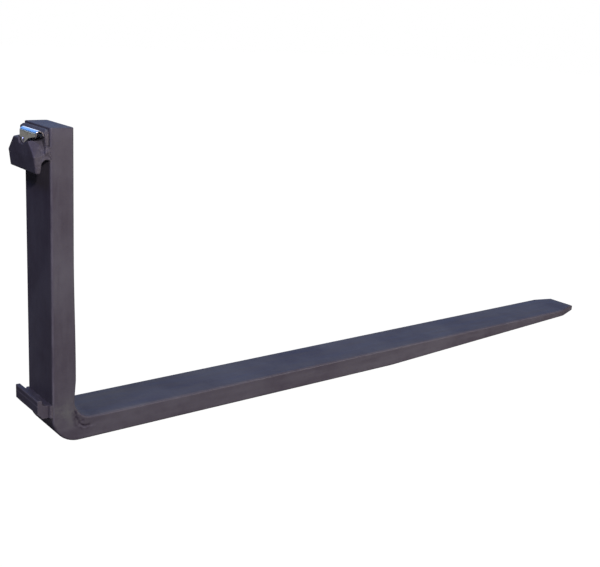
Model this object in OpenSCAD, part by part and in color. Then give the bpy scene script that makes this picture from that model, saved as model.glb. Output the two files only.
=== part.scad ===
// Hook-type fork arm for a lift truck carriage, with a sprung latch in its top hook.
// Millimetres. +X runs along the blade to its tip, +Y across the width, +Z up.
// The drawing heights count from the underside of the blade, and at_datum() moves the finished
// model so that its origin lies on the back face of the shank, midway between the hook seats.

/* [Arm] */
// Width of the rolled section
arm_w = 100; // [90:1:120]
// Thickness of the shank
shank_t = 40; // [36:1:50]
// Thickness of the blade behind its taper
blade_t = 40; // [36:1:50]
// Height of the shank above the top hook's seat
shank_rise = 50; // [49:1:86]
// Length of the blade from the front face of the shank
blade_len = 1400; // [1000:10:1800]
// Radius of the rolled long edges
edge_r = 4; // [2:0.5:6]
// Radius of the heel on its outside
heel_r = 48; // [40:1:52]
// Radius of the throat between shank and blade
throat_r = 34; // [20:1:45]
// Bevel round the sawn top end of the shank
end_bevel = 1.5; // [0.5:0.5:3]

/* [Taper and tip] */
// Length of the tapered end of the blade
taper_len = 655; // [400:5:800]
// Thickness of the blade at its tip
tip_t = 14; // [8:0.5:16]
// Width of the blunt end of the tip
tip_w = 60; // [40:1:80]
// Length over which the sides run in to the blunt end
tip_run = 68; // [40:1:100]
// Length of the bevel on top of the blunt end
tip_bevel_len = 9; // [4:1:16]
// Drop of the bevel on top of the blunt end
tip_bevel_drop = 3.5; // [2:0.5:5]

/* [Carriage fit] */
// Height of the top hook's seat on the upper carriage bar
seat_top_z = 484; // [482:0.5:486]
// Height of the lower hook's seat under the lower carriage bar
seat_low_z = 74; // [72:0.5:76]
// Gap between the shank and the lips of both hooks
hook_gap = 16.5; // [16:0.1:17.5]
// How much narrower the gap of the top hook is at its seat
gap_draft = 2.5; // [1:0.5:3]

/* [Top hook] */
// Reach of the hook behind the shank
hook_out = 27.5; // [27:0.5:32]
// Depth of the lip below the seat
lip_drop = 21; // [16:1:26]
// How far the back face runs in towards the bottom of the lip
lip_draft = 3; // [1:0.5:4]
// Height of the full-width part of the hook above the seat
cheek_h = 5; // [3:1:8]
// Height of the hook's crest above the seat
crest_h = 29.5; // [29:0.5:32]
// Width of the crest at the back
crest_w = 60; // [58:1:66]
// Width of the shoulders where they meet the root plate
shoulder_w = 74; // [66:1:84]
// Rounding of the forged corners
forge_r = 2.5; // [1.5:0.5:3]
// Thickness of the root plate that is welded to the shank
plate_t = 8; // [7:0.25:8.25]
// Inset of the root plate from each side of the shank
plate_inset = 2; // [1:0.5:4]
// Height of the root plate above the seat
plate_h = 47; // [44:0.5:48]
// Radius of the root plate's top corners
plate_corner_r = 8; // [4:1:12]
// Bevel along the top of the root plate
plate_bevel = 4; // [2:0.5:5]

/* [Latch] */
// Height of the latch floor above the seat
floor_h = 21; // [20:0.5:22]
// Distance of the latch axis behind the shank
latch_x = 16.5; // [16.25:0.25:17]
// Diameter of the locking pin in its guide
pin_d = 11; // [10:0.5:11]
// Diameter of the nose that drops into the carriage notch
nose_d = 10; // [8:0.5:10]
// Length of the nose below the seat
nose_len = 6; // [5:0.5:6.5]
// Diameter of the pin's stem
stem_d = 7.5; // [7:0.25:8]
// Radial clearance of the pin and stem in their bores
guide_clear = 0.08; // [0.03:0.01:0.1]
// Thickness of the web between the spring chamber and the latch floor
web_t = 4.5; // [4:0.5:5.5]
// Diameter of the spring wire
wire_d = 1.2; // [0.8:0.1:1.3]
// Turns of the spring
spring_turns = 4; // [3:0.5:4]

/* [Lever] */
// Outer width of the folded lever
lever_w = 13.5; // [13:0.25:13.75]
// Thickness of the lever's sheet
sheet_t = 2; // [1.5:0.25:2]
// Reach of the lever from the latch axis to the grip end
lever_reach = 49; // [40:1:60]
// Height of the crown's centre above the pivot
crown_h = 11.7; // [11:0.1:14]
// Distance from the pivot to the cam's resting flat
cam_low = 6; // [5:0.25:6.5]
// Travel of the locking pin
pin_lift = 6.5; // [5:0.25:6.5]
// Diameter of the pivot rivet
rivet_d = 3.5; // [3:0.25:4]
// Diameter of the rivet's outer head
rivet_head_d = 7; // [6:0.25:7]

/* [Lower hook] */
// How far each end of the lower hook stops short of the side of the shank
low_inset = 5; // [1:0.5:10]
// Reach of the lower hook behind the shank
low_out = 25; // [24:0.5:30]
// Height of the lower hook's lip above its seat
low_lip_h = 10.5; // [9:0.5:18]
// Depth of the lower hook below its seat
low_depth = 23; // [16:1:24]

/* [Welds] */
// How far the ground beads of the top hook stand proud
bead_proud = 0.5; // [0.3:0.1:1.5]
// Length of the top hook's side beads
bead_len = 22; // [16:1:30]
// Leg of the fillet welds round the lower hook
fillet_leg = 5; // [3:0.5:6]

/* [Hidden] */
$fn = 64;
half_w = arm_w / 2;
lap = 0.01;
over = 1;
datum_z = (seat_top_z + seat_low_z) / 2;
shank_h = seat_top_z + shank_rise;
tip_x = shank_t + blade_len;
taper_x = tip_x - taper_len;
taper_rise = blade_t - tip_t;
taper_angle = atan(taper_rise / taper_len);

lip_z = seat_top_z - lip_drop;
crest_z = seat_top_z + crest_h;
floor_z = seat_top_z + floor_h;
plate_z = seat_top_z + plate_h;
root_kink_z = seat_top_z + cheek_h + 2;
shoulder_z = crest_z + 1;
pad_z = seat_top_z + bead_len;
seat_relief = 4;
lip_lead = 2;

cam_gap = 0.3;
pivot_z = floor_z + cam_gap + cam_low;
cam_high = cam_low + pin_lift;
cam_rate = pin_lift / 90;
cam_base_r = cam_rate * 180 / PI;
crown_r = lever_w / 2;
sweep_clear = 0.6;
pocket_back = latch_x + crown_r + 0.35;
pocket_far = norm([cam_high, crown_h + crown_r]) + sweep_clear;
pocket_near = -9;
rivet_head_t = 1.5;
rivet_tail_t = 1.1;
rivet_clear = 0.05;
stem_top_z = pivot_z + 4.5;
pin_shoulder_z = seat_top_z + 4;
chamber_z = floor_z - web_t;
spring_r = (pin_d + stem_d) / 4;
spring_gap = 0.1;

low_len = arm_w - 2 * low_inset;
low_top_z = seat_low_z + low_lip_h;
low_bottom_z = seat_low_z - low_depth;
low_chamfer = 10;
low_relief_r = 5;
low_lead = 1.5;
bead_edge = 4;
bead_crown_r = (pow(bead_edge, 2) + pow(bead_proud, 2)) / (2 * bead_proud);
weld_gap = 0.04;

arm_colour = [0.20, 0.20, 0.23];
hook_colour = [0.24, 0.24, 0.27];
weld_colour = [0.30, 0.29, 0.32];
plated_colour = [0.80, 0.82, 0.85];
pin_colour = [0.62, 0.63, 0.65];

// Shifts the drawing heights to the row's origin
module at_datum() translate([0, 0, -datum_z]) children();

// Stands an outline drawn in X and Z across the width of the arm
module across(width) rotate([90, 0, 0]) linear_extrude(height = width, center = true) children();

// Runs an outline drawn in Y and Z along +X
module along(length) rotate([90, 0, 90]) linear_extrude(height = length) children();

// The waste outside a quarter-round corner whose sharp point is the origin
module corner_waste(radius) difference() {
    translate([-radius, -radius]) square(radius + over);
    translate([-radius, -radius]) circle(radius);
}

// Fillet that fills an inside corner at the origin, in the +X +Y quarter
module inside_corner(radius) difference() {
    square(radius);
    translate([radius, radius]) circle(radius);
}

// Both edge cutters of a straight run: +X along it, +Z out of the steel
module straight_edges(x, z, turn, length) translate([x, 0, z]) rotate([0, turn, 0])
    for (side = [0, 1]) mirror([0, side, 0])
        along(length) translate([half_w, 0]) corner_waste(edge_r);

// Edge cutters of the tapered underside, which rise with the taper
module taper_edges() translate([taper_x, 0, 0])
    multmatrix([[1, 0, 0, 0], [0, 1, 0, 0], [taper_rise / taper_len, 0, 1, 0]])
        for (side = [0, 1]) mirror([0, side, 0]) along(taper_len + over)
            translate([half_w, 0]) mirror([0, 1]) corner_waste(edge_r);

// Edge cutters of the heel, round its outside
module heel_edges() translate([heel_r, 0, heel_r]) rotate([90, 0, 0]) rotate([0, 0, 180])
    rotate_extrude(angle = 90) for (side = [0, 1]) mirror([0, side])
        translate([heel_r, half_w]) corner_waste(edge_r);

// Edge cutters of the throat, where the steel lies outside the arc
module throat_edges() translate([shank_t + throat_r, 0, blade_t + throat_r])
    rotate([90, 0, 0]) rotate([0, 0, 180])
        rotate_extrude(angle = 90) for (side = [0, 1]) mirror([0, side])
            translate([throat_r, half_w]) mirror([1, 0]) corner_waste(edge_r);

// Side outline of shank, heel and tapered blade
module arm_outline() difference() {
    union() {
        polygon([[0, 0], [shank_t, 0], [shank_t, shank_h - end_bevel],
            [shank_t - end_bevel, shank_h], [end_bevel, shank_h], [0, shank_h - end_bevel]]);
        polygon([[0, 0], [taper_x, 0], [tip_x, taper_rise], [tip_x, blade_t - tip_bevel_drop],
            [tip_x - tip_bevel_len, blade_t], [0, blade_t]]);
        translate([shank_t - over, blade_t - over]) square(throat_r + over);
    }
    translate([shank_t + throat_r, blade_t + throat_r]) circle(throat_r);
    translate([heel_r, heel_r]) rotate(180) translate([heel_r, heel_r]) corner_waste(heel_r);
}

// Waste beside the tip, on both sides
module tip_waste() for (side = [0, 1]) mirror([0, side, 0])
    translate([0, 0, -over]) linear_extrude(height = blade_t + 2 * over)
        polygon([[tip_x - tip_run, half_w], [tip_x - tip_run, half_w + over],
            [tip_x + over, half_w + over], [tip_x + over, tip_w / 2], [tip_x, tip_w / 2]]);

// Shank, heel and blade, forged and bent from one rolled bar
module fork_arm() color(arm_colour) at_datum() difference() {
    across(arm_w) arm_outline();
    straight_edges(0, heel_r, -90, shank_h - heel_r + over);
    heel_edges();
    straight_edges(taper_x, 0, 180, taper_x - heel_r);
    taper_edges();
    straight_edges(shank_t, shank_h, 90, shank_h - blade_t - throat_r);
    throat_edges();
    straight_edges(shank_t + throat_r, blade_t, 0, blade_len - throat_r + over);
    tip_waste();
}

// Forged block of the top hook before its cuts: six round corners at the back, a flat front
module top_hook_block() hull() {
    for (side = [-1, 1]) {
        translate([forge_r + lip_draft - hook_out, side * (half_w - forge_r), lip_z + forge_r])
            sphere(forge_r, $fn = 32);
        translate([forge_r - hook_out, side * (half_w - forge_r), seat_top_z + cheek_h])
            sphere(forge_r, $fn = 32);
        translate([forge_r - hook_out, side * (crest_w / 2 - forge_r), crest_z - forge_r])
            sphere(forge_r, $fn = 32);
    }
    translate([-plate_t, 0, 0]) along(over) polygon([[-half_w, lip_z], [half_w, lip_z],
        [half_w, root_kink_z], [shoulder_w / 2, shoulder_z],
        [-shoulder_w / 2, shoulder_z], [-half_w, root_kink_z]]);
}

// Root plate of the top hook, flat against the shank, with a wide foot where it is welded
module root_plate() translate([-plate_t, 0, 0]) along(plate_t) difference() {
    union() {
        translate([-half_w, lip_z]) square([arm_w, pad_z - lip_z]);
        translate([plate_inset - half_w, lip_z]) square([arm_w - 2 * plate_inset, plate_z - lip_z]);
    }
    for (side = [0, 1]) mirror([side, 0])
        translate([half_w - plate_inset, plate_z]) corner_waste(plate_corner_r);
}

// Waste over the bevel along the root plate's top edge
module plate_bevel_waste() across(arm_w)
    polygon([[-plate_t - over, plate_z - plate_bevel - over], [-plate_t - over, plate_z + over],
        [plate_bevel - plate_t + over, plate_z + over]]);

// Notch that drops over the upper carriage bar, narrower at the seat than at its mouth
module carriage_notch() across(arm_w + 2 * over)
    polygon([[over, lip_z - over], [over, seat_top_z],
        [gap_draft - hook_gap + seat_relief, seat_top_z],
        [gap_draft - hook_gap, seat_top_z - seat_relief], [-hook_gap, lip_z + lip_lead],
        [-hook_gap - lip_lead, lip_z], [-hook_gap - lip_lead, lip_z - over]]);

// Slot that the lever's cheeks turn in, open upwards
module lever_pocket() translate([-pocket_back, pocket_near, floor_z])
    cube([pocket_back - plate_t, pocket_far - pocket_near, crest_h]);

// Saddle through the back wall, with the long slope that clears the grip
module saddle() translate([-hook_out - over, 0, 0]) along(hook_out + over - plate_t)
    polygon([[5, floor_z], [8.5, floor_z + 7], [9.5, shoulder_z + over],
        [-half_w, shoulder_z + over], [-half_w, crest_z - 0.5], [-crest_w / 2, crest_z - 0.5],
        [pocket_near, floor_z]]);

// Groove for a side bead, from the chamfered root edge over to the shank's rounded edge
module groove_section(clear) translate([0, clear])
    polygon([[-bead_edge - over, half_w + over], [edge_r, half_w - bead_edge - edge_r],
        [edge_r, half_w + over]]);

// Grooves for the side beads, one along each edge of the hook's root
module bead_grooves() for (side = [0, 1]) mirror([0, side, 0])
    translate([0, 0, lip_z - over]) linear_extrude(height = plate_z) groove_section(0);

// Guide bore, spring chamber and stem hole, drilled on one axis from below
module latch_bores() translate([-latch_x, 0, 0]) {
    translate([0, 0, lip_z - over])
        cylinder(d = pin_d + 2 * guide_clear, h = chamber_z - lip_z + over);
    translate([0, 0, chamber_z - over])
        cylinder(d = stem_d + 2 * guide_clear, h = web_t + 2 * over);
}

// Top hook: a forging that hangs on the upper carriage bar and houses the latch
module top_hook() color(hook_colour) at_datum() difference() {
    union() {
        difference() {
            top_hook_block();
            lever_pocket();
            saddle();
        }
        root_plate();
    }
    plate_bevel_waste();
    carriage_notch();
    bead_grooves();
    latch_bores();
}

// Outline of the lower hook: a bar with a notch, a lead at its lip and a bevel underneath
module lower_hook_outline() polygon([[0, low_bottom_z], [0, seat_low_z], [-hook_gap, seat_low_z],
    [-hook_gap, low_top_z - low_lead], [-hook_gap - low_lead, low_top_z],
    [-low_out, low_top_z], [-low_out, low_bottom_z + low_chamfer],
    [-low_out + low_chamfer, low_bottom_z]]);

// Lower hook: a bar that holds the arm under the lower carriage bar
module lower_hook() color(hook_colour) at_datum() across(low_len) union() {
    lower_hook_outline();
    translate([-hook_gap, seat_low_z]) inside_corner(low_relief_r);
}

// Section of the shank round its back edge, grown by the gap that the beads keep
module shank_corner() union() {
    translate([edge_r, half_w - edge_r]) circle(edge_r + weld_gap);
    translate([-weld_gap, 0]) square([edge_r + weld_gap, half_w - edge_r]);
    translate([edge_r, 0]) square([edge_r + bead_edge, half_w + weld_gap]);
}

// One side bead of the top hook, ground nearly flush with the side of the shank
module side_bead(side) color(weld_colour) at_datum() mirror([0, side, 0])
    translate([0, 0, seat_top_z + weld_gap]) linear_extrude(height = bead_len) difference() {
        intersection() {
            translate([0, half_w + bead_proud - bead_crown_r]) circle(bead_crown_r);
            groove_section(2 * weld_gap);
        }
        shank_corner();
    }

module top_hook_weld_far() side_bead(0);
module top_hook_weld_near() side_bead(1);

// One end bead of the lower hook, laid from the end of the bar round the shank's rounded edge
module end_bead(side) color(weld_colour) at_datum() mirror([0, side, 0])
    translate([0, 0, low_bottom_z]) linear_extrude(height = low_depth - weld_gap) difference() {
        translate([-0.3 * fillet_leg, low_len / 2]) circle(0.9 * fillet_leg);
        translate([-2 * fillet_leg, 0]) square([4 * fillet_leg, low_len / 2 + weld_gap]);
        shank_corner();
    }

module lower_hook_weld_far() end_bead(0);
module lower_hook_weld_near() end_bead(1);

// Hollow-faced fillet with its square corner at the origin, in the +X +Y quarter
module fillet_section(leg) difference() {
    translate([weld_gap, weld_gap]) square(leg - weld_gap);
    translate([leg * 1.6, leg * 1.6]) circle(leg * 1.55);
}

// Fillet along the underside of the lower hook
module lower_hook_weld_under() color(weld_colour) at_datum() across(low_len)
    translate([0, low_bottom_z]) mirror([1, 0]) mirror([0, 1]) fillet_section(fillet_leg);

// Locking pin: a bevelled nose, a guided body and a stem with the rivet's cross hole
module latch_pin() color(pin_colour) at_datum() translate([-latch_x, 0, 0]) difference() {
    union() {
        translate([0, 0, seat_top_z - nose_len])
            cylinder(d1 = nose_d - 2, d2 = nose_d, h = 1, $fn = 48);
        translate([0, 0, seat_top_z - nose_len + 1]) cylinder(d = nose_d, h = nose_len);
        translate([0, 0, seat_top_z + 0.5]) cylinder(d = pin_d, h = pin_shoulder_z - seat_top_z - 0.5);
        translate([0, 0, pin_shoulder_z - over]) cylinder(d = stem_d, h = stem_top_z - pin_shoulder_z + over);
    }
    translate([0, 0, pivot_z]) rotate([0, 90, 0])
        cylinder(d = rivet_d + 2 * rivet_clear, h = stem_d + 2 * over, center = true);
}

// Points of one ring of the spring's wire at a given turn angle
function spring_ring(angle, rise) = [for (a = [0:45:315])
    let (reach = spring_r + wire_d / 2 * cos(a))
        [reach * cos(angle), reach * sin(angle), rise + wire_d / 2 * sin(a)]];

// Compression spring round the stem, between the pin's shoulder and the chamber's roof
module latch_spring() color(plated_colour) at_datum() translate([-latch_x, 0, 0]) {
    steps = spring_turns * 16;
    low = pin_shoulder_z + wire_d / 2 + spring_gap;
    high = chamber_z - wire_d / 2 - spring_gap;
    points = [for (i = [0:steps]) each spring_ring(i * 22.5, low + (high - low) * i / steps)];
    walls = [for (i = [0:steps - 1], k = [0:7])
        [i * 8 + k, i * 8 + (k + 1) % 8, (i + 1) * 8 + (k + 1) % 8, (i + 1) * 8 + k]];
    start = [[for (k = [7:-1:0]) k]];
    end = [[for (k = [0:7]) steps * 8 + k]];
    polyhedron(points = points, faces = concat(walls, start, end));
}

// Point of the cam at a turn angle: its support distance grows evenly, so the pin rises evenly
function cam_point(turn) = let (reach = cam_low + cam_rate * turn)
    [reach * sin(turn) + cam_base_r * cos(turn), -reach * cos(turn) + cam_base_r * sin(turn)];

// Outline of one cheek of the lever about its pivot
module cheek_outline() polygon(concat(
    [for (turn = [0:7.5:90]) cam_point(turn)],
    [[cam_high, crown_h], [-lever_reach, crown_h], [-lever_reach, 9.4], [-38, 7.2], [-23, 4.3],
        [-9.5, -2.4], [-5.5, -5.2], [-3.5, -cam_low]]));

// Half tube that joins the two cheeks over the pivot
module crown() translate([0, cam_high, crown_h]) rotate([90, 0, 0]) difference() {
    cylinder(r = crown_r, h = lever_reach + cam_high);
    translate([0, 0, -over]) cylinder(r = crown_r - sheet_t, h = lever_reach + cam_high + 2 * over);
    translate([-crown_r - over, -crown_r - over, -over])
        cube([lever_w + 2 * over, crown_r + over, lever_reach + cam_high + 2 * over]);
}

// Folded lever: two cam cheeks under a rounded crown, pulled up to lift the pin
module latch_lever() color(plated_colour) at_datum() translate([-latch_x, 0, pivot_z]) difference() {
    union() {
        crown();
        translate([-crown_r, 0, 0]) along(sheet_t) cheek_outline();
        translate([crown_r - sheet_t, 0, 0]) along(sheet_t) cheek_outline();
    }
    rotate([0, 90, 0]) cylinder(d = rivet_d + 0.02, h = lever_w + 2 * over, center = true);
}

// Rivet that the lever turns on, headed over both cheeks
module lever_rivet() color(plated_colour) at_datum() translate([-latch_x, 0, pivot_z])
    rotate([0, 90, 0]) union() {
        cylinder(d = rivet_d, h = lever_w, center = true);
        translate([0, 0, crown_r]) cylinder(d1 = rivet_head_d - 1.5, d2 = rivet_head_d - 2.5, h = rivet_tail_t);
        translate([0, 0, -crown_r - rivet_head_t])
            cylinder(d1 = rivet_head_d - 2, d2 = rivet_head_d, h = rivet_head_t);
    }

fork_arm();
top_hook();
lower_hook();
top_hook_weld_near();
top_hook_weld_far();
lower_hook_weld_near();
lower_hook_weld_far();
lower_hook_weld_under();
latch_pin();
latch_spring();
latch_lever();
lever_rivet();
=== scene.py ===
"""Looks of a hook-type fork arm: forged bar, welded hooks, sprung latch, camera and studio.

Pieces, camera and lamps lie in metres in the row frame: the origin is on the back face of the
shank, midway between the hook seats, +X runs along the blade and +Z up the shank. The sizes in the
classes of the steel pieces are in millimetres, with heights above the underside of the blade.
"""

import logging
import math
from dataclasses import dataclass
from enum import Enum
from typing import Callable, Optional, Union

import bpy
from mathutils import Matrix, Vector, noise

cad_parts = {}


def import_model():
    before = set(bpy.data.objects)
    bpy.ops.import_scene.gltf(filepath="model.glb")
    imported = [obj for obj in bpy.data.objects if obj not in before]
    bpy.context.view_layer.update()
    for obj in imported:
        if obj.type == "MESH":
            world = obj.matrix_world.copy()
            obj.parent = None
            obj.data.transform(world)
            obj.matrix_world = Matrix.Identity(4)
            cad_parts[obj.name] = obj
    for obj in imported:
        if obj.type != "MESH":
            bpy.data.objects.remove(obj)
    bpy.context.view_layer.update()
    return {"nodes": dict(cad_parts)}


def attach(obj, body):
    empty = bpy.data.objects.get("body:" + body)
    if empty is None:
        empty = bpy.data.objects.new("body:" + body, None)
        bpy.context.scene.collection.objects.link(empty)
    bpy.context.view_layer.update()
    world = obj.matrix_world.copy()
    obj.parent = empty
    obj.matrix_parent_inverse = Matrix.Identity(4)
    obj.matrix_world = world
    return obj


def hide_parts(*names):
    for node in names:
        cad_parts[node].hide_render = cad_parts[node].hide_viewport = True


Socket = bpy.types.NodeSocket
Piece = bpy.types.Object
Finish = bpy.types.Material
LOG = logging.getLogger("fork_arm")
MM = 0.001
DATUM = 279.0 * MM
SAME_PLACE = 1e-6
SAME_CORNER = 2e-6
WHITE = (1.0, 1.0, 1.0, 1.0)


class Body(str, Enum):
    """Rigid groups of the object that the pieces made here ride on."""

    ARM = "arm"
    LEVER = "lever"


class Slot(str, Enum):
    """Material slots of the record that the pieces made here fill."""

    ARM_PAINT = "arm_paint"
    HOOK_PAINT = "hook_paint"
    WELD_PAINT = "weld_paint"
    ZINC_PLATE = "zinc_plate"


def ground(x: float, y: float, z: float) -> Vector:
    """Turns millimetres above the underside of the blade into metres in the row frame.

    Args:
        x: Distance in front of the shank's back face.
        y: Distance from the centre of the width.
        z: Height above the underside of the blade.

    Returns:
        The point in the row frame.
    """
    return Vector((x * MM, y * MM, z * MM - DATUM))


# Modelling by hand


def leave_edit_mode() -> None:
    """Puts Blender in object mode with nothing selected."""
    if bpy.context.object and bpy.context.object.mode != "OBJECT":
        bpy.ops.object.mode_set(mode="OBJECT")
    bpy.ops.object.select_all(action="DESELECT")


def take(piece: Piece) -> None:
    """Makes one piece the only selected and the active object."""
    leave_edit_mode()
    piece.select_set(True)
    bpy.context.view_layer.objects.active = piece


def settle(piece: Piece) -> None:
    """Puts a piece's place, turn and scale into its mesh."""
    take(piece)
    bpy.ops.object.transform_apply(location=True, rotation=True, scale=True)


def edit_all(piece: Piece) -> None:
    """Enters edit mode on one piece with all of its mesh selected."""
    take(piece)
    bpy.ops.object.mode_set(mode="EDIT")
    bpy.ops.mesh.select_all(action="SELECT")


def clear_selection(piece: Piece, kind: str) -> None:
    """Deselects all of a piece's mesh.

    Args:
        piece: The mesh object.
        kind: Blender's name of what edit mode then selects.
    """
    take(piece)
    bpy.ops.object.mode_set(mode="EDIT")
    bpy.ops.mesh.select_mode(type=kind)
    bpy.ops.mesh.select_all(action="DESELECT")
    bpy.ops.object.mode_set(mode="OBJECT")


def select_faces(piece: Piece, wanted: Callable[[Vector, Vector], bool]) -> None:
    """Selects the faces of a piece for which a test holds, and enters edit mode.

    Args:
        piece: The mesh object.
        wanted: Test of a face's centre and normal.
    """
    clear_selection(piece, "FACE")
    for face in piece.data.polygons:
        face.select = bool(wanted(face.center, face.normal))
    bpy.ops.object.mode_set(mode="EDIT")


def bevel_edges(
    piece: Piece, wanted: Callable[[Vector, Vector], bool], width: float, facets: int
) -> None:
    """Bevels the edges of a piece for which a test holds, and stays in edit mode.

    Args:
        piece: The mesh object.
        wanted: Test of the two ends of an edge.
        width: Width of the bevel in millimetres.
        facets: Number of facets across the bevel.
    """
    clear_selection(piece, "EDGE")
    mesh = piece.data
    for edge in mesh.edges:
        a, b = (mesh.vertices[i].co for i in edge.vertices)
        edge.select = bool(wanted(a, b))
    bpy.ops.object.mode_set(mode="EDIT")
    bpy.ops.mesh.bevel(offset=width * MM, segments=facets, affect="EDGES")


def cut(piece: Piece, point: Vector, normal: Vector, clear: bool = False) -> None:
    """Cuts a whole piece along a plane.

    Args:
        piece: The mesh object.
        point: A point of the plane.
        normal: The plane's normal.
        clear: Whether the side that the normal points to is removed and the cut filled.
    """
    edit_all(piece)
    bpy.ops.mesh.bisect(
        plane_co=point, plane_no=normal, clear_outer=clear, use_fill=clear, threshold=1e-7
    )
    bpy.ops.object.mode_set(mode="OBJECT")


def tidy_mesh(piece: Piece) -> None:
    """Merges doubles and turns every face outwards."""
    edit_all(piece)
    bpy.ops.mesh.remove_doubles(threshold=SAME_PLACE)
    bpy.ops.mesh.normals_make_consistent(inside=False)
    bpy.ops.object.mode_set(mode="OBJECT")


def apply_modifier(piece: Piece, kind: str, **settings: object) -> None:
    """Adds a modifier to a piece and applies it.

    Args:
        piece: The mesh object.
        kind: Blender's name of the modifier type.
        **settings: Values of the modifier.
    """
    take(piece)
    modifier = piece.modifiers.new(kind.lower(), kind)
    for name, value in settings.items():
        setattr(modifier, name, value)
    bpy.ops.object.modifier_apply(modifier=modifier.name)


def smooth(piece: Piece, angle: float) -> None:
    """Shades a piece smooth except across edges sharper than an angle in degrees."""
    take(piece)
    bpy.ops.object.shade_smooth_by_angle(angle=math.radians(angle))


def remesh(piece: Piece, grain: float, rounds: int) -> None:
    """Makes a piece's mesh anew in small even faces and rounds it.

    Args:
        piece: The mesh object.
        grain: Size of the faces in millimetres.
        rounds: Number of smoothing rounds.
    """
    apply_modifier(piece, "REMESH", mode="VOXEL", voxel_size=grain * MM, adaptivity=0.0)
    apply_modifier(piece, "SMOOTH", factor=0.5, iterations=rounds)


def break_edges(piece: Piece, width: float, segments: int, angle: float) -> None:
    """Bevels a piece's sharp edges and keeps the shading of its flat faces flat.

    Args:
        piece: The mesh object.
        width: Width of the bevel in millimetres.
        segments: Number of facets across the bevel.
        angle: Angle in degrees above which an edge is sharp.
    """
    limit = math.radians(angle)
    apply_modifier(
        piece, "BEVEL", width=width * MM, segments=segments, limit_method="ANGLE", angle_limit=limit
    )
    smooth(piece, 40.0)
    apply_modifier(piece, "WEIGHTED_NORMAL", mode="FACE_AREA", weight=100, keep_sharp=True)


def block(name: str, middle: Vector, sides: tuple) -> Piece:
    """Makes a rectangular block.

    Args:
        name: Its name.
        middle: Its centre in metres.
        sides: Its three sides in metres.

    Returns:
        The new piece.
    """
    leave_edit_mode()
    bpy.ops.mesh.primitive_cube_add(size=1, location=middle)
    piece = bpy.context.object
    piece.name = name
    piece.scale = sides
    settle(piece)
    return piece


def copy_of_node(node: Piece, name: str) -> Piece:
    """Copies a CAD node as a new piece with its doubles merged.

    Args:
        node: The CAD node.
        name: Name of the new piece.

    Returns:
        The new piece.
    """
    piece = bpy.data.objects.new(name, node.data.copy())
    bpy.context.scene.collection.objects.link(piece)
    piece.data.materials.clear()
    edit_all(piece)
    bpy.ops.mesh.remove_doubles(threshold=SAME_CORNER)
    bpy.ops.object.mode_set(mode="OBJECT")
    return piece


# Finishes


def fill_band(band: bpy.types.ColorRamp, stops: tuple) -> None:
    """Gives a colour ramp its stops, which are pairs of a position and a linear colour."""
    while len(band.elements) < len(stops):
        band.elements.new(0.5)
    for element, (position, colour) in zip(band.elements, stops):
        element.position = position
        element.color = (*colour, 1.0)


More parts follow.
